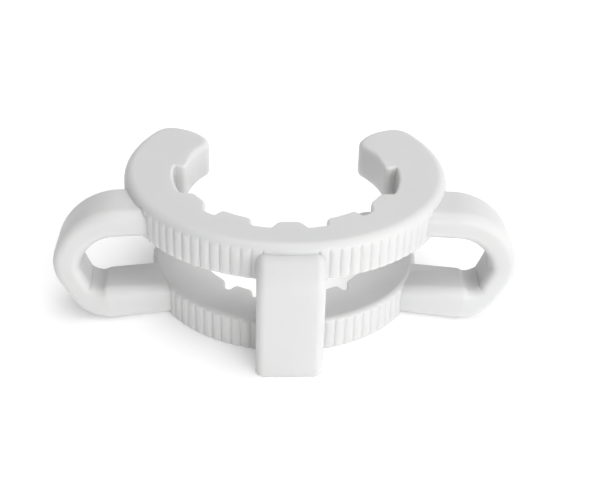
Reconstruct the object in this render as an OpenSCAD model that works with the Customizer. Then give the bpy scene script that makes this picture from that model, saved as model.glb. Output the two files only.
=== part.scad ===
// Spring clip for a ground glass taper joint, moulded in one piece.
// Two toothed C rings grip the two tubes of the joint. A front bridge and two
// side loops join the rings and pull them together over the joint's beads.
// The joint's axis is Z, the underside is z = 0 and the mouth opens toward +Y.

/* [Upper ring] */
// Outer radius of the upper ring
upper_outer_r = 20; // [19.5:0.1:24]
// Radius of the socket tube that the upper teeth grip
upper_grip_r = 12.4; // [11.6:0.1:12.9]
// Depth of the pockets between the upper teeth
upper_pocket = 1.5; // [0.8:0.1:2]
// Height of the upper ring
upper_h = 4.4; // [3.6:0.1:6]
// How far the upper ring's outer circle sits toward the mouth
upper_shift = 1.7; // [0:0.1:2]

/* [Lower ring] */
// Outer radius of the lower ring
lower_outer_r = 16.7; // [15.6:0.1:18]
// Radius of the cone tube that the lower teeth grip
lower_grip_r = 10.7; // [9.8:0.1:11.6]
// Depth of the pockets between the lower teeth
lower_pocket = 1.3; // [0.8:0.1:1.6]
// Height of the lower ring
lower_h = 4.1; // [3.4:0.1:5]
// How far the lower ring's outer circle sits behind the axis
lower_shift = 0.3; // [0:0.1:1]
// Clear height between the two rings, which holds the joint's beads
bead_gap = 6.5; // [5:0.1:9]

/* [Teeth] */
// Half width of the centre tooth at its tip
centre_tip = 1.25; // [0.8:0.05:1.6]
// Half width of the centre tooth at its root
centre_root = 2.1; // [1.7:0.05:2.5]
// Distance from the middle to the near flank of the second upper teeth
upper_second = 4.7; // [3.8:0.1:5.2]
// Distance from the middle to the near flank of the third upper teeth
upper_third = 9.7; // [9:0.1:10.2]
// Distance from the middle to the near flank of the second lower teeth
lower_second = 4.1; // [3.4:0.1:4.6]
// Distance from the middle to the near flank of the third lower teeth
lower_third = 7.4; // [6.9:0.1:8]
// Angle from the middle to the far flank of the second teeth
second_end = 35; // [32:0.5:37]
// Angle from the middle to the back flank of the third teeth
third_end = 66; // [60:0.5:72]
// Angle from the middle to the front flank of the end blocks
end_block = 95; // [90:0.5:104]

/* [Mouth] */
// Angle from the middle to the inner corner of each end block
mouth_start = 128; // [122:0.5:134]
// How much smaller than the upper ring's wall the radius of its end faces is
upper_end_relief = 0.8; // [0:0.1:1.5]
// How much smaller than the lower ring's wall the radius of its end faces is
lower_end_relief = 0.6; // [0:0.1:1.2]
// Slope of the line from the inner corner to the centre of the end face
end_slope = 13; // [5:1:20]
// Radius of the corner between the end face and the outer wall
end_corner_r = 2.6; // [2.5:0.1:3]

/* [Side loops] */
// Distance from the upper ring's outer wall to the outside of each side loop
loop_stand = 7.7; // [7:0.1:12]
// Width of the band that forms each loop
loop_w = 6.1; // [4:0.1:7]
// Thickness of the band
loop_t = 3.4; // [2.4:0.1:3.8]
// Distance from the axis to the front edge of the band
loop_front = 9; // [8:0.1:9.5]
// Drop from the upper ring's top to the top of the loops and the bridge
band_drop = 1; // [0.6:0.1:1.5]
// Outer radius of the large bend at the loop's shoulder
shoulder_r = 8.2; // [7:0.1:8.6]

/* [Front bridge] */
// Width of the bridge
bridge_w = 7.6; // [5:0.1:9]
// Thickness of the bridge
bridge_t = 3.3; // [2.8:0.1:3.5]
// Distance from the upper ring's front wall to the bridge's face
bridge_stand = 3.2; // [2.7:0.1:4.7]
// Outer radius of the bend at the bridge's shoulder
bridge_bend_r = 3.7; // [3.6:0.1:4.5]

/* [Edges] */
// Rounding of the upper ring's outer top edge
upper_edge = 1.2; // [0.6:0.1:1.6]
// Rounding of the lower ring's outer top edge
lower_edge = 0.7; // [0.4:0.1:1.2]
// Rounding of the tooth tips' top edges
tip_edge = 0.4; // [0.2:0.1:0.6]
// Rounding of the band's long edges
loop_edge = 0.9; // [0.4:0.1:1.1]
// Rounding of the bridge's upright edges
bridge_edge = 1.2; // [0.5:0.1:1.3]

/* [Finger ribs] */
// Distance along the wall from one rib to the next
rib_pitch = 1.26; // [1:0.02:2]
// Depth of the notch between two ribs
rib_depth = 0.4; // [0.2:0.05:0.6]
// Share of the pitch that the notch takes
notch_share = 0.7; // [0.4:0.05:0.9]
// Angle from the middle at which the ribs stop
rib_end = 112; // [100:1:116]

/* [Hidden] */
$fn = 96;

upper_z = lower_h + bead_gap;
total_h = upper_z + upper_h;
band_top = total_h - band_drop;
loop_back = loop_front - loop_w;
loop_reach = upper_outer_r + loop_stand;
bridge_reach = upper_outer_r - upper_shift + bridge_stand;
upper_end_r = upper_outer_r - upper_grip_r - upper_end_relief;
lower_end_r = lower_outer_r - lower_grip_r - lower_end_relief;
// Reach of a cut past the solid that it cuts
past = 2;
// How far the end blocks' corner arcs stand out of the faces that they join
corner_proud = 0.05;

// A point at a given angle round from the front middle, toward +X
function front_point(r, angle) = [r * sin(angle), -r * cos(angle)];

// A flat disc with its outer top edge rounded
module round_disc(r, h, edge) {
    rotate_extrude() {
        square([r - edge, h]);
        square([r, h - edge]);
        translate([r - edge, h - edge]) circle(r = edge);
    }
}

// The pockets between the teeth on one side, out to the pocket radius
module pockets_2d(grip_r, pocket_r, second, third) {
    out = pocket_r + past;
    intersection() {
        circle(r = pocket_r);
        union() {
            polygon([[0, 0], [centre_tip, -grip_r], [centre_root, -pocket_r],
                     [centre_root, -out], [second, -out], [second, 0]]);
            polygon([[0, 0], front_point(third / sin(second_end), second_end), [third, 0]]);
            translate([0, -pocket_r * cos(third_end)])
                square([out, pocket_r * (cos(third_end) - cos(end_block))]);
        }
    }
}

// The whole inside of a ring: the gripped circle and the pockets behind it
module bore_2d(grip_r, pocket, second, third) {
    circle(r = grip_r);
    for (side = [0, 1])
        mirror([side, 0]) pockets_2d(grip_r, grip_r + pocket, second, third);
}

// V notches that leave the finger ribs standing, between two angles from the front middle
module rib_notches_2d(r, from, to) {
    step = rib_pitch / r * 180 / PI;
    half = rib_pitch * notch_share;
    for (i = [0 : floor((to - from) / step)])
        rotate(from + i * step)
            polygon([[0, rib_depth - r], [half, -r - rib_depth], [-half, -r - rib_depth]]);
}

// The ribbed stretches of a ring's wall, clear of the bridge, the loops and the end blocks
module ribs_2d(outer_r, shift) {
    bridge_side = asin((bridge_w / 2 + rib_pitch) / outer_r);
    band_front = acos((loop_front + shift + rib_pitch / 2) / outer_r);
    band_back = acos((loop_back + shift - rib_pitch) / outer_r);
    translate([0, shift]) {
        rib_notches_2d(outer_r, bridge_side, band_front);
        rib_notches_2d(outer_r, band_back, rib_end);
    }
}

// One C ring, whose outer circle sits at shift along Y
module ring(outer_r, shift, grip_r, pocket, h, edge, second, third, end_face_r) {
    // The end face is a large arc that starts at the end block's inner corner.
    corner = front_point(grip_r, mouth_start);
    end_face = corner + end_face_r * [cos(end_slope), -sin(end_slope)];
    reach = norm(end_face - [0, shift]);
    face_dir = atan2(end_face[1] - shift, end_face[0]);
    // The corner arc stands a hair proud of the outer circle and the end face, so it cuts them cleanly.
    to_wall = outer_r - end_corner_r + corner_proud;
    to_face = end_face_r - end_corner_r + corner_proud;
    corner_dir = face_dir + acos((reach ^ 2 + to_wall ^ 2 - to_face ^ 2) / (2 * reach * to_wall));
    corner_arc = [0, shift] + to_wall * [cos(corner_dir), sin(corner_dir)];
    turn = atan2(corner_arc[1] - end_face[1], corner_arc[0] - end_face[0]);
    far = 2 * outer_r;

    difference() {
        intersection() {
            translate([0, shift, 0]) round_disc(outer_r, h, edge);
            union() {
                // Everything up to the middle of the end blocks
                linear_extrude(h)
                    polygon([[0, shift], [0, shift] + far * [cos(face_dir), sin(face_dir)],
                             [far, -far], [-far, -far],
                             [0, shift] + far * [-cos(face_dir), sin(face_dir)]]);
                for (side = [0, 1])
                    mirror([side, 0, 0]) {
                        difference() {
                            translate(end_face) round_disc(end_face_r, h, edge);
                            translate([corner_arc[0], corner_arc[1], -past])
                                linear_extrude(h + 2 * past)
                                    polygon([[0, 0], far * [cos(corner_dir), sin(corner_dir)],
                                             far * [cos(turn), sin(turn)]]);
                        }
                        translate(corner_arc) round_disc(end_corner_r, h, edge);
                    }
            }
        }
        translate([0, 0, -past]) linear_extrude(h + 2 * past) {
            bore_2d(grip_r, pocket, second, third);
            for (side = [0, 1]) mirror([side, 0]) ribs_2d(outer_r, shift);
        }
        tip_rounding(grip_r, h);
    }
}

// What rounds off the top edges of the tooth tips
module tip_rounding(grip_r, h) {
    rotate_extrude() difference() {
        translate([grip_r - tip_edge, h - tip_edge]) square(2 * tip_edge);
        translate([grip_r + tip_edge, h - tip_edge]) circle(r = tip_edge);
        translate([grip_r + tip_edge, h - past]) square([past, 2 * past]);
    }
}

// Section of a band, given as [width, thickness, edge rounding], with its outer face at x = r
module band_2d(band, r) {
    w = band[0];
    t = band[1];
    e = band[2];
    for (x = [r - e, r - t + e], y = [e, w - e])
        translate([x, y]) circle(r = e);
    translate([r - t, e]) square([t, w - 2 * e]);
    translate([r - t + e, 0]) square([t - 2 * e, w]);
}

// A quarter bend of a band about a centre [x, z], starting at an angle above the horizontal
module band_bend(band, centre, r, from) {
    translate([centre[0], band[0] / 2, centre[1]])
        rotate([90, -from, 0])
            rotate_extrude(angle = 90) band_2d(band, r);
}

// A straight of a band that leaves a bend where it faces an angle, running on (way = 1) or back (way = 0)
module band_straight(band, centre, r, angle, way, length) {
    translate([centre[0], band[0] / 2, centre[1]])
        rotate([90, -angle, 0])
            rotate([90, 0, 0])
                mirror([0, 0, 1 - way])
                    linear_extrude(length) band_2d(band, r);
}

// Half way through a ring's wall, where a band's leg ends inside it
function leg_root(outer_r, shift, pocket_r) =
    (pocket_r + sqrt(outer_r ^ 2 - (loop_front + shift) ^ 2)) / 2;

// The spring loop on the +X side
module side_loop() {
    band = [loop_w, loop_t, loop_edge];
    foot_r = band_top - shoulder_r;
    shoulder = [loop_reach - shoulder_r, foot_r];
    foot = [loop_reach - foot_r, foot_r];
    top_root = leg_root(upper_outer_r, upper_shift, upper_grip_r + upper_pocket);
    low_root = leg_root(lower_outer_r, -lower_shift, lower_grip_r + lower_pocket);

    translate([0, loop_w / 2 - loop_front, 0]) {
        band_straight(band, shoulder, shoulder_r, 90, 0, shoulder[0] - top_root);
        band_bend(band, shoulder, shoulder_r, 0);
        band_bend(band, foot, foot_r, -90);
        band_straight(band, foot, foot_r, -90, 1, foot[0] - low_root);
    }
}

// The strap that joins the two rings opposite the mouth
module bridge() {
    band = [bridge_w, bridge_t, bridge_edge];
    bend = [bridge_reach - bridge_bend_r, band_top - bridge_bend_r];
    top_root = upper_outer_r - upper_shift - upper_edge - past;
    low_root = lower_outer_r + lower_shift - lower_edge - past;

    rotate(-90) {
        band_straight(band, bend, bridge_bend_r, 90, 0, bend[0] - top_root);
        band_bend(band, bend, bridge_bend_r, 0);
        band_straight(band, bend, bridge_bend_r, 0, 1, bend[1]);
        translate([low_root, bridge_edge - bridge_w / 2, 0])
            cube([bridge_reach - bridge_t / 2 - low_root, bridge_w - 2 * bridge_edge, bridge_t]);
    }
}

module joint_clip() {
    color("white") {
        translate([0, 0, upper_z])
            ring(upper_outer_r, upper_shift, upper_grip_r, upper_pocket, upper_h, upper_edge,
                 upper_second, upper_third, upper_end_r);
        ring(lower_outer_r, -lower_shift, lower_grip_r, lower_pocket, lower_h, lower_edge,
             lower_second, lower_third, lower_end_r);
        for (side = [0, 1])
            mirror([side, 0, 0]) side_loop();
        bridge();
    }
}

joint_clip();
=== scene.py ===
import bmesh
import bpy
import math
from mathutils import Matrix, Vector


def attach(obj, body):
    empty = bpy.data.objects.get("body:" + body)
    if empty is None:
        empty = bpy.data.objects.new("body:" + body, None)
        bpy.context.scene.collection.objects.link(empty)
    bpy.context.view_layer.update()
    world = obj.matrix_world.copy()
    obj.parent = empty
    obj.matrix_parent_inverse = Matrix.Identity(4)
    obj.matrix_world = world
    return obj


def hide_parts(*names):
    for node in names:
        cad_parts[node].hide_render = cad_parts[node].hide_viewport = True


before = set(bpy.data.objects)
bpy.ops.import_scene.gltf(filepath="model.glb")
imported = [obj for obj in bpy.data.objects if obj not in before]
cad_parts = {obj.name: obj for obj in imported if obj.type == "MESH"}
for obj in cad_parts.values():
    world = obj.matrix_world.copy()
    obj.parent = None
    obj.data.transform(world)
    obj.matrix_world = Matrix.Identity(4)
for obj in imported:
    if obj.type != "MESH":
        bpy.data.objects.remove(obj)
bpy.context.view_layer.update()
mm = 0.001  # sizes below are in millimetres, and angles in degrees
print("frame loaded")


def addNode(tree, kind, inputs=None, **settings):
    # adds a node with its settings; an input is given a value, a socket to link from, or a node
    # whose first output is linked
    node = tree.nodes.new(kind)
    for name, value in settings.items():
        setattr(node, name, value)
    for key, value in (inputs or {}).items():
        if isinstance(value, bpy.types.Node):
            value = value.outputs[0]
        if isinstance(value, bpy.types.NodeSocket):
            tree.links.new(value, node.inputs[key])
        else:
            node.inputs[key].default_value = value
    return node


def linearColour(hexValue):
    # sRGB hex to linear, with alpha
    channels = [int(hexValue[i:i + 2], 16) / 255 for i in (1, 3, 5)]
    return [c / 12.92 if c <= 0.04045 else ((c + 0.055) / 1.055) ** 2.4 for c in channels] + [1.0]


def frontPoint(radius, angle):
    # a point at an angle in degrees round from the front middle, toward +X
    turn = math.radians(angle)
    return Vector((radius * math.sin(turn), -radius * math.cos(turn)))


def polarPoint(centre, radius, angle):
    # a point on a circle, at an angle counted from the first axis toward the second
    turn = math.radians(angle)
    return Vector((centre[0] + radius * math.cos(turn), centre[1] + radius * math.sin(turn)))


def spread(start, stop, step):
    # evenly spaced values from start to stop, both included, no further apart than step
    count = max(1, math.ceil(abs(stop - start) / step))
    return [start + (stop - start) * i / count for i in range(count + 1)]


def newTree(name, inputs):
    tree = bpy.data.node_groups.new(name, "GeometryNodeTree")
    tree.interface.new_socket("Geometry", in_out="INPUT", socket_type="NodeSocketGeometry")
    for label, kind, value in inputs:
        socket = tree.interface.new_socket(label, in_out="INPUT", socket_type=kind)
        if value is not None:
            socket.default_value = value
    tree.interface.new_socket("Geometry", in_out="OUTPUT", socket_type="NodeSocketGeometry")
    return tree


def treeOutput(tree, geometry, material):
    # every tree ends in Realize Instances and Set Material
    real = addNode(tree, "GeometryNodeRealizeInstances", {"Geometry": geometry})
    finished = addNode(tree, "GeometryNodeSetMaterial", {"Geometry": real, "Material": material})
    addNode(tree, "NodeGroupOutput", {"Geometry": finished})


def runTree(source, tree, values):
    # runs a tree on an object and gives back the plain mesh it makes
    modifier = source.modifiers.new(tree.name, "NODES")
    modifier.node_group = tree
    for item in tree.interface.items_tree:
        if item.in_out == "INPUT" and item.name in values:
            modifier[item.identifier] = values[item.name]
    graph = bpy.context.evaluated_depsgraph_get()
    mesh = bpy.data.meshes.new_from_object(source.evaluated_get(graph))
    source.modifiers.remove(modifier)
    return mesh


def meshObject(name, mesh):
    # puts a mesh into the scene as a new object
    made = bpy.data.objects.new(name, mesh)
    bpy.context.scene.collection.objects.link(made)
    return made


# Moulded polyacetal: a milky white engineering plastic with a soft waxy gloss. Light soaks a
# little way in and softens the shading; the moulded skin is slightly uneven. The grain is drawn
# at 0.16 mm, as coarse as it needs to show.
acetal = {
    "colour": "#D6D6D5",
    "cloudColour": "#CFD0D0",  # faint flow marks in the melt
    "cloudSize": 9.0,
    "ior": 1.48,
    "roughness": (0.34, 0.48),
    "skinRange": (0.3, 0.7),  # where the noise turns from the glossier to the duller skin
    "soak": 0.7,
    "soakDepth": 1.2,
    "soakColours": (1.0, 1.0, 0.95),
    "skinSize": 0.9,
    "skinHeight": 0.012,
    "grainSize": 0.16,
    "grainHeight": 0.002,
}


def mouldedAcetal(size):
    # clouds for the colour, an uneven skin for gloss and bump, and a fine grain
    material = bpy.data.materials.new("mouldedAcetal")
    material.use_nodes = True
    tree = material.node_tree
    tree.nodes.clear()
    place = addNode(tree, "ShaderNodeTexCoord").outputs["Object"]
    cloud = addNode(tree, "ShaderNodeTexNoise", {
        "Vector": place, "Scale": 1 / (size["cloudSize"] * mm), "Detail": 3.0, "Roughness": 0.5})
    colour = addNode(tree, "ShaderNodeMix", {
        0: cloud.outputs["Fac"], 6: linearColour(size["colour"]),
        7: linearColour(size["cloudColour"])}, data_type="RGBA")
    skin = addNode(tree, "ShaderNodeTexNoise", {
        "Vector": place, "Scale": 1 / (size["skinSize"] * mm), "Detail": 2.0, "Roughness": 0.4})
    grain = addNode(tree, "ShaderNodeTexNoise", {
        "Vector": place, "Scale": 1 / (size["grainSize"] * mm), "Detail": 1.0, "Roughness": 0.5})
    gloss = addNode(tree, "ShaderNodeMapRange", {
        "Value": skin.outputs["Fac"],
        "From Min": size["skinRange"][0], "From Max": size["skinRange"][1],
        "To Min": size["roughness"][0], "To Max": size["roughness"][1]})
    skinBump = addNode(tree, "ShaderNodeBump", {
        "Height": skin.outputs["Fac"], "Strength": 1.0, "Distance": size["skinHeight"] * mm})
    grainBump = addNode(tree, "ShaderNodeBump", {
        "Height": grain.outputs["Fac"], "Strength": 1.0, "Distance": size["grainHeight"] * mm,
        "Normal": skinBump.outputs["Normal"]})
    shader = addNode(tree, "ShaderNodeBsdfPrincipled", {
        "Base Color": colour.outputs[2], "Roughness": gloss.outputs["Result"], "IOR": size["ior"],
        "Subsurface Weight": size["soak"], "Subsurface Radius": size["soakColours"],
        "Subsurface Scale": size["soakDepth"] * mm, "Normal": grainBump.outputs["Normal"]})
    addNode(tree, "ShaderNodeOutputMaterial", {"Surface": shader.outputs["BSDF"]})
    return material


plastic = mouldedAcetal(acetal)
print("material made")


def ribTree():
    # cuts convex ribs into a wall by moving its points inward, deepest between two ribs;
    # a point that the rounded top edge already holds further in stays where it is
    tree = newTree("fingerRibs", [
        ("Pitch", "NodeSocketFloat", 1.0), ("Depth", "NodeSocketFloat", 0.1),
        ("Narrowness", "NodeSocketFloat", 1.0),
        ("First Start", "NodeSocketFloat", 0.0), ("First Count", "NodeSocketInt", 1),
        ("Second Start", "NodeSocketFloat", 0.0), ("Second Count", "NodeSocketInt", 1),
        ("Material", "NodeSocketMaterial", None)])
    given = tree.nodes.new("NodeGroupInput").outputs

    mathNode, attribute = "ShaderNodeMath", "GeometryNodeInputNamedAttribute"
    along = addNode(tree, attribute, {"Name": "along"}, data_type="FLOAT")
    inset = addNode(tree, attribute, {"Name": "inset"}, data_type="FLOAT")
    inward = addNode(tree, attribute, {"Name": "inward"}, data_type="FLOAT_VECTOR")
    distance = addNode(tree, mathNode, {0: along}, operation="ABSOLUTE")
    cuts = []
    for stretch in ("First", "Second"):
        begin, count = given[stretch + " Start"], given[stretch + " Count"]
        past = addNode(tree, mathNode, {0: distance, 1: begin}, operation="SUBTRACT")
        place = addNode(tree, mathNode, {0: past, 1: given["Pitch"]}, operation="DIVIDE")
        phase = addNode(tree, mathNode, {0: place, 1: math.pi}, operation="MULTIPLY")
        wave = addNode(tree, mathNode, {0: phase}, operation="COSINE")
        crest = addNode(tree, mathNode, {0: wave}, operation="ABSOLUTE")
        hollow = addNode(tree, mathNode, {0: 1.0, 1: crest}, operation="SUBTRACT")
        notch = addNode(tree, mathNode, {0: hollow, 1: given["Narrowness"]}, operation="POWER")
        begun = addNode(tree, mathNode, {0: place, 1: 0.0}, operation="GREATER_THAN")
        notOver = addNode(tree, mathNode, {0: place, 1: count}, operation="LESS_THAN")
        within = addNode(tree, mathNode, {0: begun, 1: notOver}, operation="MULTIPLY")
        cuts.append(addNode(tree, mathNode, {0: notch, 1: within}, operation="MULTIPLY"))
    both = addNode(tree, mathNode, {0: cuts[0], 1: cuts[1]}, operation="ADD")
    cut = addNode(tree, mathNode, {0: both, 1: given["Depth"]}, operation="MULTIPLY")
    left = addNode(tree, mathNode, {0: cut, 1: inset}, operation="SUBTRACT")
    extra = addNode(tree, mathNode, {0: left, 1: 0.0}, operation="MAXIMUM")
    offset = addNode(tree, "ShaderNodeVectorMath", {0: inward, "Scale": extra}, operation="SCALE")
    moved = addNode(tree, "GeometryNodeSetPosition", {
        "Geometry": given["Geometry"], "Offset": offset})
    treeOutput(tree, moved, given["Material"])
    return tree


# narrow notches between broad crests; the ribs reach round to an end angle, and each stretch of
# them starts and stops hidden inside the bridge or a loop
ribs = {
    "pitch": 1.26, "depth": 0.2, "narrowness": 1.5, "pointsPerRib": 12, "end": 112.0, "hidden": 0.5,
}

# how finely a ring is drawn, and how far the rounding of its corners reaches from above
ringFinish = {
    "endStep": 6, "faceStep": 3, "toothStep": 2.5, "cornerSteps": 8, "cornerClear": 0.04,
    "tipReach": 0.62, "blockReach": 0.9, "pocketReach": 0.3,
    "fadeStart": 1.2, "fadeLength": 2.5, "edgeSteps": 6, "support": 0.05, "underShare": 0.3,
}

# a ring: its wall and grip circles, its teeth by the places of their flanks, its end blocks at
# the mouth, and how far each of its edges is rounded
upperRing = {
    "outerRadius": 20.0, "shift": 1.7, "bottom": 10.6, "top": 15.0,
    "gripRadius": 12.4, "pocket": 1.5,
    "centreTip": 1.25, "centreRoot": 2.1, "second": 4.3, "secondEnd": 38.0,
    "third": 9.7, "thirdEnd": -5.65, "blockTip": 0.9, "blockRoot": 1.5,
    "mouthCorner": (9.6, 8.4), "mouthReach": 1.15,
    "endFaceRadius": 6.8, "endSlope": 13.0, "endCornerRadius": 2.7,
    "wallEdge": 1.2, "toothEdge": 0.3, "mouthEdge": 0.7, "underEdge": 0.25,
}

lowerRing = {
    "outerRadius": 16.7, "shift": -0.3, "bottom": 0.0, "top": 4.1,
    "gripRadius": 10.7, "pocket": 1.3,
    "centreTip": 1.25, "centreRoot": 2.1, "second": 4.1, "secondEnd": 35.0,
    "third": 7.4, "thirdEnd": -4.88, "blockTip": 0.75, "blockRoot": 1.25,
    "mouthCorner": (8.45, 6.6), "mouthReach": 0.8,
    "endFaceRadius": 5.4, "endSlope": 13.0, "endCornerRadius": 2.6,
    "wallEdge": 0.7, "toothEdge": 0.28, "mouthEdge": 0.4, "underEdge": 0.25,
}


def softCorners(points, corners):
    # rounds a line's corners; corners maps a point's number to how far the rounding reaches
    steps, clear = ringFinish["cornerSteps"], ringFinish["cornerClear"]
    lengths = [0.0]
    for a, b in zip(points, points[1:]):
        lengths.append(lengths[-1] + (b - a).length)

    def at(s):
        for i in range(1, len(points)):
            if lengths[i] >= s:
                share = (s - lengths[i - 1]) / (lengths[i] - lengths[i - 1])
                return points[i - 1].lerp(points[i], share)
        return points[-1]

    made = []
    for i, point in enumerate(points):
        if i in corners:
            reach = corners[i]
            before, after = at(lengths[i] - reach), at(lengths[i] + reach)
            for k in range(steps + 1):
                t = k / steps
                made.append((lengths[i] + (2 * t - 1) * reach,
                             before * (1 - t) ** 2 + point * 2 * t * (1 - t) + after * t ** 2))
        elif all(abs(lengths[i] - lengths[c]) > corners[c] + clear for c in corners):
            made.append((lengths[i], point))
    return [point for _, point in sorted(made, key=lambda pair: pair[0])]


def halfOutline(size):
    # the right half of a ring from above, from the wall's front middle round to the centre tooth's
    # middle: each point with its top edge rounding and its distance along the ribbed wall, which
    # is negative where there are no ribs
    finish = ringFinish
    radius, shift = size["outerRadius"], size["shift"]
    grip = size["gripRadius"]
    pocket = grip + size["pocket"]
    corner = Vector(size["mouthCorner"])
    face = size["endFaceRadius"]
    slope = math.radians(size["endSlope"])
    faceCentre = corner + face * Vector((math.cos(slope), -math.sin(slope)))
    ringCentre = Vector((0, shift))
    toFace = faceCentre - ringCentre
    faceDirection = math.degrees(math.atan2(toFace[1], toFace[0]))
    wallSide = radius - size["endCornerRadius"]
    faceSide = face - size["endCornerRadius"]
    spreadAngle = math.degrees(math.acos(
        (toFace.length ** 2 + wallSide ** 2 - faceSide ** 2) / (2 * toFace.length * wallSide)))
    wallEnd = faceDirection + spreadAngle
    cornerCentre = polarPoint(ringCentre, wallSide, wallEnd)
    back = cornerCentre - faceCentre
    turn = math.degrees(math.atan2(back[1], back[0]))

    outline = []
    smooth = -1.0
    step = math.degrees(ribs["pitch"] / ribs["pointsPerRib"] / radius)
    for i in range(int((wallEnd + 90) / step)):
        point = frontPoint(radius, i * step) + ringCentre
        outline.append((point, size["wallEdge"], radius * math.radians(i * step)))
    for angle in spread(wallEnd, turn, finish["endStep"]):
        point = polarPoint(cornerCentre, size["endCornerRadius"], angle)
        outline.append((point, size["wallEdge"], smooth))

    mouthAngle = math.degrees(math.atan2(corner[0], -corner[1]))

    def angleAtX(r, x):
        return math.degrees(math.asin(x / r))

    def angleAtY(r, y):
        return math.degrees(math.acos(-y / r))

    # radius, first angle and last angle of each arc inside the ring, from the mouth to the middle
    stretches = [
        (grip, mouthAngle, angleAtY(grip, size["blockTip"])),
        (pocket, angleAtY(pocket, size["blockRoot"]), angleAtY(pocket, size["thirdEnd"])),
        (grip, angleAtY(grip, size["thirdEnd"]), angleAtX(grip, size["third"])),
        (pocket, angleAtX(pocket, size["third"]), size["secondEnd"]),
        (grip, size["secondEnd"], angleAtX(grip, size["second"])),
        (pocket, angleAtX(pocket, size["second"]), angleAtX(pocket, size["centreRoot"])),
        (grip, angleAtX(grip, size["centreTip"]), 0.0)]
    faceAngles = spread(turn, 180 - size["endSlope"], finish["faceStep"])
    line = [polarPoint(faceCentre, face, angle) for angle in faceAngles]
    corners = {len(line) - 1: size["mouthReach"]}
    for number, (r, first, last) in enumerate(stretches):
        reach = finish["tipReach"] if r == grip else finish["pocketReach"]
        arc = [frontPoint(r, angle) for angle in spread(first, last, finish["toothStep"])]
        if number == 0:
            arc = arc[1:]
        else:
            corners[len(line)] = reach
        line += arc
        if number < len(stretches) - 1:
            corners[len(line) - 1] = finish["blockReach"] if number == 0 else reach
    line = softCorners(line, corners)
    mouthPlace = (corner - line[0]).length
    for point in line[1:]:
        gone = min((point - line[0]).length / mouthPlace, 1.0)
        edge = size["wallEdge"] + (size["mouthEdge"] - size["wallEdge"]) * gone
        # back to the sharper tooth edge before the end block's own pocket
        past = point[1] - size["blockRoot"] - finish["fadeStart"]
        fade = min(max(past / finish["fadeLength"], 0.0), 1.0)
        edge = size["toothEdge"] + (edge - size["toothEdge"]) * fade
        outline.append((point, edge, smooth))
    return outline


def ringSolid(name, size):
    # a closed solid: the outline from above, raised in rows that round its top and bottom edges
    half = halfOutline(size)
    mirrored = [(Vector((-p[0], p[1])), edge, along) for p, edge, along in reversed(half[1:-1])]
    outline = half + mirrored
    count = len(outline)
    inward = []
    for i in range(count):
        before, here, after = outline[i - 1][0], outline[i][0], outline[(i + 1) % count][0]
        a, b = (here - before).normalized(), (after - here).normalized()
        left, right = Vector((-a[1], a[0])), Vector((-b[1], b[0]))
        inward.append((left + right) / (1 + left.dot(right)))
    bottom, top = size["bottom"], size["top"]
    steps, support = ringFinish["edgeSteps"], ringFinish["support"]
    under = size["underEdge"]
    bend = under * ringFinish["underShare"]
    # each row gives its inset and height for a top edge rounding e
    rows = [lambda e: (under + support, bottom), lambda e: (under, bottom),
            lambda e: (bend, bottom + bend), lambda e: (0.0, bottom + under)]
    for k in range(steps + 1):
        turn = math.pi / 2 * k / steps
        rows.append(lambda e, turn=turn: (e * (1 - math.cos(turn)), top - e * (1 - math.sin(turn))))
    rows.append(lambda e: (e + support, top))

    solid = bmesh.new()
    alongLayer = solid.verts.layers.float.new("along")
    insetLayer = solid.verts.layers.float.new("inset")
    inwardLayer = solid.verts.layers.float_vector.new("inward")
    grid = []
    for row in rows:
        line = []
        for (point, edge, along), way in zip(outline, inward):
            inset, z = row(edge)
            place = point + way * inset
            vertex = solid.verts.new((place[0] * mm, place[1] * mm, z * mm))
            vertex[alongLayer] = along * mm
            vertex[insetLayer] = inset * mm
            vertex[inwardLayer] = (way[0], way[1], 0)
            line.append(vertex)
        grid.append(line)
    for low, high in zip(grid, grid[1:]):
        for i in range(count):
            j = (i + 1) % count
            solid.faces.new((low[i], low[j], high[j], high[i]))
    solid.faces.new(list(reversed(grid[0])))
    solid.faces.new(grid[-1])
    mesh = bpy.data.meshes.new(name)
    solid.to_mesh(mesh)
    solid.free()
    return meshObject(name, mesh)


def ribbedRing(name, size, tree):
    # a ring with its ribs cut between the bridge and a loop, and from the loop on to the end
    blank = ringSolid(name + "Blank", size)
    radius, shift = size["outerRadius"], size["shift"]
    pitch = ribs["pitch"]
    unit = math.degrees(pitch / radius)
    hidden = ribs["hidden"]
    loopBack = loop["front"] - loop["width"]
    bridgeSide = math.degrees(math.asin((bridge["width"] / 2 - hidden) / radius))
    bandFront = math.degrees(math.acos((loop["front"] + shift - hidden) / radius))
    bandBack = math.degrees(math.acos((loopBack + shift + hidden) / radius))
    firstStart = math.floor(bridgeSide / unit) * pitch
    firstCount = math.ceil(bandFront / unit) - math.floor(bridgeSide / unit)
    secondStart = math.floor(bandBack / unit) * pitch
    secondCount = math.ceil(ribs["end"] / unit) - math.floor(bandBack / unit)
    mesh = runTree(blank, tree, {
        "Pitch": pitch * mm, "Depth": ribs["depth"] * mm, "Narrowness": ribs["narrowness"],
        "First Start": firstStart * mm, "First Count": firstCount,
        "Second Start": secondStart * mm, "Second Count": secondCount, "Material": plastic})
    bpy.data.objects.remove(blank)
    return meshObject(name, mesh)


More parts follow.
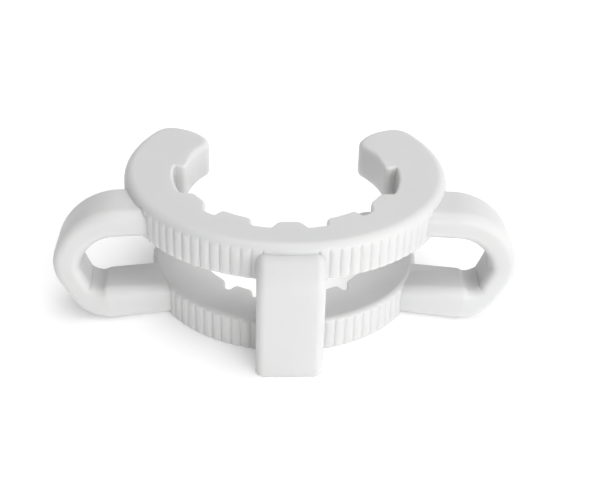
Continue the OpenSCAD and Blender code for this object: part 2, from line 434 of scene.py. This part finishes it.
# a side loop: an upper leg, a shoulder bend, a side bend, a straight heel, a foot bend and a lower
# leg; each mark along it has the section's thickness and width, where its middle lies in Y, and
# the draft that thins its inner side toward the back
loop = {
    "thickness": 3.4, "width": 6.1, "front": 9.0, "edge": 1.15, "top": 14.15, "bottom": 0.01,
    "reach": 27.8, "shoulderRadius": 7.9, "sideRadius": 4.6, "footRadius": 5.4,
    "shoulderEnd": 15.0, "heelAngle": -31.0, "upperRoot": 15.6, "lowerRoot": 13.2,
    "bendStep": 4, "shoulderStep": 3,
    "marks": {"upperRoot": (3.4, 6.8, -5.9, 0), "shoulder": (3.45, 7.4, -6.1, 0.2),
              "side": (3.4, 7.0, -6.4, 0.5), "heelTop": (3.25, 6.8, -6.8, 0.6),
              "heel": (3.0, 6.6, -7.1, 0.5), "foot": (4.5, 6.3, -7.7, 0),
              "lowerRoot": (3.8, 7.4, -5.5, 0)},
}

# the front bridge: a bent strap on the upper ring, and a foot that joins it to the lower ring
bridge = {
    "width": 7.6, "thickness": 3.3, "edge": 1.05, "face": 21.8, "top": 14.0, "bendRadius": 3.7,
    "upperRoot": 16.0, "bottomEdge": 0.3, "bottomSteps": 5, "bottomLift": 0.01, "bendStep": 5,
    "footWidth": 6.0, "footEdge": 0.5, "footHeight": 3.3, "footRoot": 15.4, "footLift": 0.03,
}

bandEdgeSteps = 7
weldDistance = 1e-6  # metres, for the seam of a swept band


def bandTree():
    # sweeps a rounded rectangle along a line of edges, then grows and drafts the section
    tree = newTree("sweptBand", [
        ("Width", "NodeSocketFloat", 1.0), ("Thickness", "NodeSocketFloat", 1.0),
        ("Edge", "NodeSocketFloat", 0.1), ("Edge Steps", "NodeSocketInt", 6),
        ("Side", "NodeSocketVector", (0, 1, 0)), ("Material", "NodeSocketMaterial", None)])
    given = tree.nodes.new("NodeGroupInput").outputs
    path = addNode(tree, "GeometryNodeMeshToCurve", {"Mesh": given["Geometry"]})
    turned = addNode(tree, "GeometryNodeSetCurveNormal", {
        "Curve": path, "Normal": given["Side"]}, mode="FREE")
    section = addNode(tree, "GeometryNodeCurvePrimitiveQuadrilateral", {
        "Width": given["Width"], "Height": given["Thickness"]})
    rounded = addNode(tree, "GeometryNodeFilletCurve", {
        "Curve": section, "Count": given["Edge Steps"], "Radius": given["Edge"]}, mode="POLY")

    mathNode, vectorMath = "ShaderNodeMath", "ShaderNodeVectorMath"
    kinds = {"taper": "FLOAT", "thicker": "FLOAT", "wider": "FLOAT", "draft": "FLOAT",
             "across": "FLOAT_VECTOR", "middle": "FLOAT_VECTOR"}
    marks = {}
    for name, kind in kinds.items():
        marks[name] = addNode(
            tree, "GeometryNodeInputNamedAttribute", {"Name": name}, data_type=kind)
    swept = addNode(tree, "GeometryNodeCurveToMesh", {
        "Curve": turned, "Profile Curve": rounded, "Scale": marks["taper"], "Fill Caps": True})
    # the section is made thicker and wider about its own middle, as its path points say
    across, side = marks["across"], given["Side"]
    place = addNode(tree, "GeometryNodeInputPosition")
    away = addNode(tree, vectorMath, {0: place, 1: marks["middle"]}, operation="SUBTRACT")
    outward = addNode(tree, vectorMath, {0: away, 1: across}, operation="DOT_PRODUCT")
    sideways = addNode(tree, vectorMath, {0: away, 1: side}, operation="DOT_PRODUCT")
    outward, sideways = outward.outputs["Value"], sideways.outputs["Value"]
    taller = addNode(tree, mathNode, {0: outward, 1: marks["thicker"]}, operation="MULTIPLY")
    broader = addNode(tree, mathNode, {0: sideways, 1: marks["wider"]}, operation="MULTIPLY")
    thicker = addNode(tree, vectorMath, {0: across, "Scale": taller}, operation="SCALE")
    wider = addNode(tree, vectorMath, {0: side, "Scale": broader}, operation="SCALE")
    # draft: the inner half moves outward, more and more toward the back
    height = addNode(tree, mathNode, {0: outward, 1: given["Thickness"]}, operation="DIVIDE")
    breadth = addNode(tree, mathNode, {0: sideways, 1: given["Width"]}, operation="DIVIDE")
    innerShare = addNode(tree, "ShaderNodeMapRange", {
        "Value": height, "From Min": 0.0, "From Max": -0.5, "To Min": 0.0, "To Max": 1.0})
    backShare = addNode(tree, "ShaderNodeMapRange", {
        "Value": breadth, "From Min": -0.5, "From Max": 0.5, "To Min": 0.0, "To Max": 1.0})
    both = addNode(tree, mathNode, {0: innerShare, 1: backShare}, operation="MULTIPLY")
    slope = addNode(tree, mathNode, {0: both, 1: marks["draft"]}, operation="MULTIPLY")
    drafted = addNode(tree, vectorMath, {0: across, "Scale": slope}, operation="SCALE")
    growth = addNode(tree, vectorMath, {0: thicker, 1: wider}, operation="ADD")
    move = addNode(tree, vectorMath, {0: growth, 1: drafted}, operation="ADD")
    grown = addNode(tree, "GeometryNodeSetPosition", {"Geometry": swept, "Offset": move})
    welded = addNode(tree, "GeometryNodeMergeByDistance", {
        "Geometry": grown, "Distance": weldDistance})
    treeOutput(tree, welded, given["Material"])
    return tree


def sweptBand(name, tree, path, width, thickness, edge, side):
    # path is a list of (point in mm, scale of the section, direction across it, extra thickness and
    # extra width as shares, draft in metres)
    line = bmesh.new()
    layers = line.verts.layers
    shares = ("taper", "thicker", "wider", "draft")
    taper, thicker, wider, draft = (layers.float.new(label) for label in shares)
    middle, across = (layers.float_vector.new(label) for label in ("middle", "across"))
    previous = None
    for point, scale, *rest in path:
        vertex = line.verts.new(Vector(point) * mm)
        vertex[taper] = scale
        vertex[middle] = Vector(point) * mm
        if rest:
            vertex[across], vertex[thicker], vertex[wider], vertex[draft] = rest
        if previous:
            line.edges.new((previous, vertex))
        previous = vertex
    mesh = bpy.data.meshes.new(name + "Path")
    line.to_mesh(mesh)
    line.free()
    guide = meshObject(name + "Path", mesh)
    made = runTree(guide, tree, {
        "Width": width * mm, "Thickness": thickness * mm, "Edge": edge * mm,
        "Edge Steps": bandEdgeSteps, "Side": side, "Material": plastic})
    bpy.data.objects.remove(guide)
    solid = bmesh.new()
    solid.from_mesh(made)
    bmesh.ops.recalc_face_normals(solid, faces=solid.faces)
    if solid.calc_volume(signed=True) < 0:
        bmesh.ops.reverse_faces(solid, faces=solid.faces)
    solid.to_mesh(made)
    solid.free()
    return meshObject(name, made)


def sideLoop(name, tree, sign):
    # sign is 1 for the loop on +X and -1 for its mirror image
    size = loop
    sideCentre = (size["reach"] - size["sideRadius"], 0)
    gap = size["shoulderRadius"] - size["sideRadius"]
    start = math.radians(size["shoulderEnd"])
    shoulderCentre = (sideCentre[0] - gap * math.cos(start), size["top"] - size["shoulderRadius"])
    sideCentre = (sideCentre[0], shoulderCentre[1] + gap * math.sin(start))
    footZ = size["bottom"] + size["footRadius"]
    heel = math.radians(size["heelAngle"])
    # the straight heel touches both the side bend and the foot bend
    across = size["sideRadius"] - size["footRadius"] - (footZ - sideCentre[1]) * math.sin(heel)
    footCentre = (sideCentre[0] + across / math.cos(heel), footZ)

    # outline points with the direction out of the loop and the two marks that they lie between
    stations = [(Vector((size["upperRoot"], size["top"])), 90, "upperRoot", "upperRoot", 0)]

    def bend(centre, radius, first, last, step, before, after):
        angles = spread(first, last, step)
        for number, angle in enumerate(angles):
            point = polarPoint(centre, radius, angle)
            stations.append((point, angle, before, after, number / (len(angles) - 1)))

    step, heelAngle = size["bendStep"], size["heelAngle"]
    bend(shoulderCentre, size["shoulderRadius"], 90, size["shoulderEnd"], size["shoulderStep"],
         "shoulder", "side")
    bend(sideCentre, size["sideRadius"], size["shoulderEnd"] - step, heelAngle, step,
         "side", "heelTop")
    bend(footCentre, size["footRadius"], heelAngle, -90, step, "heel", "foot")
    stations.append((Vector((size["lowerRoot"], size["bottom"])), -90, "lowerRoot", "lowerRoot", 0))
    path = []
    for point, angle, before, after, share in stations:
        a, b = size["marks"][before], size["marks"][after]
        thickness, width, middle, draft = (a[k] + (b[k] - a[k]) * share for k in range(4))
        turn = math.radians(angle)
        out = Vector((math.cos(turn), math.sin(turn)))
        inner = point - out * thickness / 2
        path.append(((sign * inner[0], middle, inner[1]), 1.0, (sign * out[0], 0, out[1]),
                     thickness / size["thickness"] - 1, width / size["width"] - 1, draft * mm))
    return sweptBand(name, tree, path, size["width"], size["thickness"], size["edge"], (0, 1, 0))


def frontBridge(tree):
    # a strap out of the upper ring, bent down, with its bottom edge drawn in
    size = bridge
    half = size["thickness"] / 2
    centre = (-(size["face"] - size["bendRadius"]), size["top"] - size["bendRadius"])
    path = [((0, -size["upperRoot"], size["top"] - half), 1.0)]
    for angle in spread(90, 180, size["bendStep"]):
        path.append(((0, *polarPoint(centre, size["bendRadius"] - half, angle)), 1.0))
    edge, steps = size["bottomEdge"], size["bottomSteps"]
    for k in range(steps + 1):
        turn = math.pi / 2 * k / steps
        scale = 1 - edge * (1 - math.cos(turn)) / (size["width"] / 2)
        z = edge * (1 - math.sin(turn)) + size["bottomLift"]
        path.append(((0, half - size["face"], z), scale))
    return sweptBand(
        "bridgeStrap", tree, path, size["width"], size["thickness"], size["edge"], (1, 0, 0))


def bridgeFoot(tree):
    # joins the foot of the strap to the lower ring
    size = bridge
    z = size["footHeight"] / 2 + size["footLift"]
    front, back = size["thickness"] / 2 - size["face"], -size["footRoot"]
    path = [((0, y, z), 1.0) for y in (front, back)]
    return sweptBand(
        "bridgeFoot", tree, path, size["footWidth"], size["footHeight"], size["footEdge"],
        (1, 0, 0))


ribNodes = ribTree()
bandNodes = bandTree()
parts = [
    ribbedRing("upperRing", upperRing, ribNodes),
    ribbedRing("lowerRing", lowerRing, ribNodes),
    sideLoop("rightLoop", bandNodes, 1),
    sideLoop("leftLoop", bandNodes, -1),
    frontBridge(bandNodes),
    bridgeFoot(bandNodes),
]
for part in parts:
    box = [Vector(c) for c in part.bound_box]
    print(part.name, [round(v / mm, 2) for v in (*box[0], *box[6])], len(part.data.polygons))


# small edges left by the union are merged, and edges sharper than the angle stay crisp
union = {"mergeDistance": 0.002, "dissolveDistance": 0.001, "sharpAngle": 38.0}


def joinParts(name, parts):
    # makes the rings, loops and bridge one moulded piece
    for part in parts:
        # the union needs plain triangles
        solid = bmesh.new()
        solid.from_mesh(part.data)
        bmesh.ops.triangulate(solid, faces=solid.faces, ngon_method="EAR_CLIP")
        solid.to_mesh(part.data)
        solid.free()
    base, *others = parts
    for other in others:
        modifier = base.modifiers.new(other.name, "BOOLEAN")
        modifier.operation = "UNION"
        modifier.solver = "MANIFOLD"
        modifier.object = other
    graph = bpy.context.evaluated_depsgraph_get()
    mesh = bpy.data.meshes.new_from_object(base.evaluated_get(graph))
    for part in parts:
        bpy.data.objects.remove(part)
    solid = bmesh.new()
    solid.from_mesh(mesh)
    bmesh.ops.remove_doubles(solid, verts=solid.verts, dist=union["mergeDistance"] * mm)
    bmesh.ops.dissolve_degenerate(
        solid, edges=solid.edges, dist=union["dissolveDistance"] * mm)
    bmesh.ops.triangulate(solid, faces=solid.faces)
    openEdges = sum(len(edge.link_faces) != 2 for edge in solid.edges)
    solid.to_mesh(mesh)
    solid.free()
    print(name, "open edges", openEdges)
    made = meshObject(name, mesh)
    mesh.name = name
    helpers = ("along", "inset", "inward", "taper", "thicker", "wider", "draft", "middle", "across")
    for helper in helpers:
        if helper in mesh.attributes:
            mesh.attributes.remove(mesh.attributes[helper])
    mesh.shade_smooth()
    mesh.set_sharp_from_angle(angle=math.radians(union["sharpAngle"]))
    mesh.materials.clear()
    mesh.materials.append(plastic)
    return made


clip = joinParts("springClip", parts)
print("clip joined", len(clip.data.polygons), "faces")

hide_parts("joint_clip")
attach(clip, "root")


# a white floor and tent with two soft lamps; these sizes and places are in metres
studio = {
    "floor": "#FFFFFF", "floorGlow": 0.14, "floorSize": 3.0, "floorRoughness": 0.8,
    "floorSpecular": 0.2, "skyLeft": 0.12, "skyRight": 1.0,
    "key": {"power": 1.65, "size": 0.45, "place": (0.24, -0.45, 0.18)},
    "top": {"power": 1.4, "size": 0.5, "place": (0.05, 0.05, 0.6)},
}


def studioFloor(size):
    half = size["floorSize"] / 2
    corners = [(-half, -half, 0), (half, -half, 0), (half, half, 0), (-half, half, 0)]
    mesh = bpy.data.meshes.new("floor")
    mesh.from_pydata(corners, [], [(0, 1, 2, 3)])
    material = bpy.data.materials.new("paleFloor")
    material.use_nodes = True
    shader = material.node_tree.nodes["Principled BSDF"]
    shader.inputs["Base Color"].default_value = linearColour(size["floor"])
    shader.inputs["Emission Color"].default_value = (1, 1, 1, 1)
    shader.inputs["Emission Strength"].default_value = size["floorGlow"]
    shader.inputs["Roughness"].default_value = size["floorRoughness"]
    shader.inputs["Specular IOR Level"].default_value = size["floorSpecular"]
    mesh.materials.append(material)
    floor = meshObject("floor", mesh)


def studioSky(size):
    # an even white tent that is dimmer on the left
    world = bpy.data.worlds.new("studio")
    world.use_nodes = True
    tree = world.node_tree
    tree.nodes.clear()
    way = addNode(tree, "ShaderNodeTexCoord").outputs["Generated"]
    side = addNode(tree, "ShaderNodeSeparateXYZ", {0: way})
    strength = addNode(tree, "ShaderNodeMapRange", {
        "Value": side.outputs["X"], "From Min": -1.0, "From Max": 1.0,
        "To Min": size["skyLeft"], "To Max": size["skyRight"]})
    glow = addNode(tree, "ShaderNodeBackground", {
        "Color": (1, 1, 1, 1), "Strength": strength.outputs["Result"]})
    addNode(tree, "ShaderNodeOutputWorld", {"Surface": glow.outputs[0]})
    bpy.context.scene.world = world


def softLight(name, size):
    # a square lamp that faces the clip
    light = bpy.data.lights.new(name, "AREA")
    light.energy = size["power"]
    light.size = size["size"]
    lamp = bpy.data.objects.new(name, light)
    lamp.location = size["place"]
    lamp.rotation_euler = (-Vector(size["place"])).to_track_quat("-Z", "Y").to_euler()
    bpy.context.scene.collection.objects.link(lamp)


# in front of the bridge, looking down on the clip; nearest and farthest are in metres
camera = {
    "azimuth": -3.06, "elevation": 30.64, "roll": -1.83, "distance": 143.05,
    "aside": 1.436, "above": 3.184, "aimY": 1.7, "lens": 66.37, "sensor": 36,
    "nearest": 0.005, "farthest": 20,
}


def studioCamera(size):
    a, e, r = (math.radians(size[k]) for k in ("azimuth", "elevation", "roll"))
    back = Vector((math.sin(a) * math.cos(e), -math.cos(a) * math.cos(e), math.sin(e)))
    right = Vector((math.cos(a), math.sin(a), 0))
    up = back.cross(right)
    aim = Vector((0, size["aimY"], 0))
    place = (back * size["distance"] + right * size["aside"] + up * size["above"] + aim) * mm
    across = right * math.cos(r) - up * math.sin(r)
    upward = right * math.sin(r) + up * math.cos(r)
    data = bpy.data.cameras.new("camera")
    data.sensor_width = size["sensor"]
    data.lens = size["lens"]
    data.clip_start, data.clip_end = size["nearest"], size["farthest"]
    made = bpy.data.objects.new("camera", data)
    made.matrix_world = Matrix((
        (across[0], upward[0], back[0], place[0]),
        (across[1], upward[1], back[1], place[1]),
        (across[2], upward[2], back[2], place[2]),
        (0, 0, 0, 1)))
    bpy.context.scene.collection.objects.link(made)
    bpy.context.scene.camera = made


studioFloor(studio)
softLight("keyLight", studio["key"])
softLight("topLight", studio["top"])
studioSky(studio)
bpy.context.scene.view_settings.view_transform = "Standard"
studioCamera(camera)
print("studio ready")
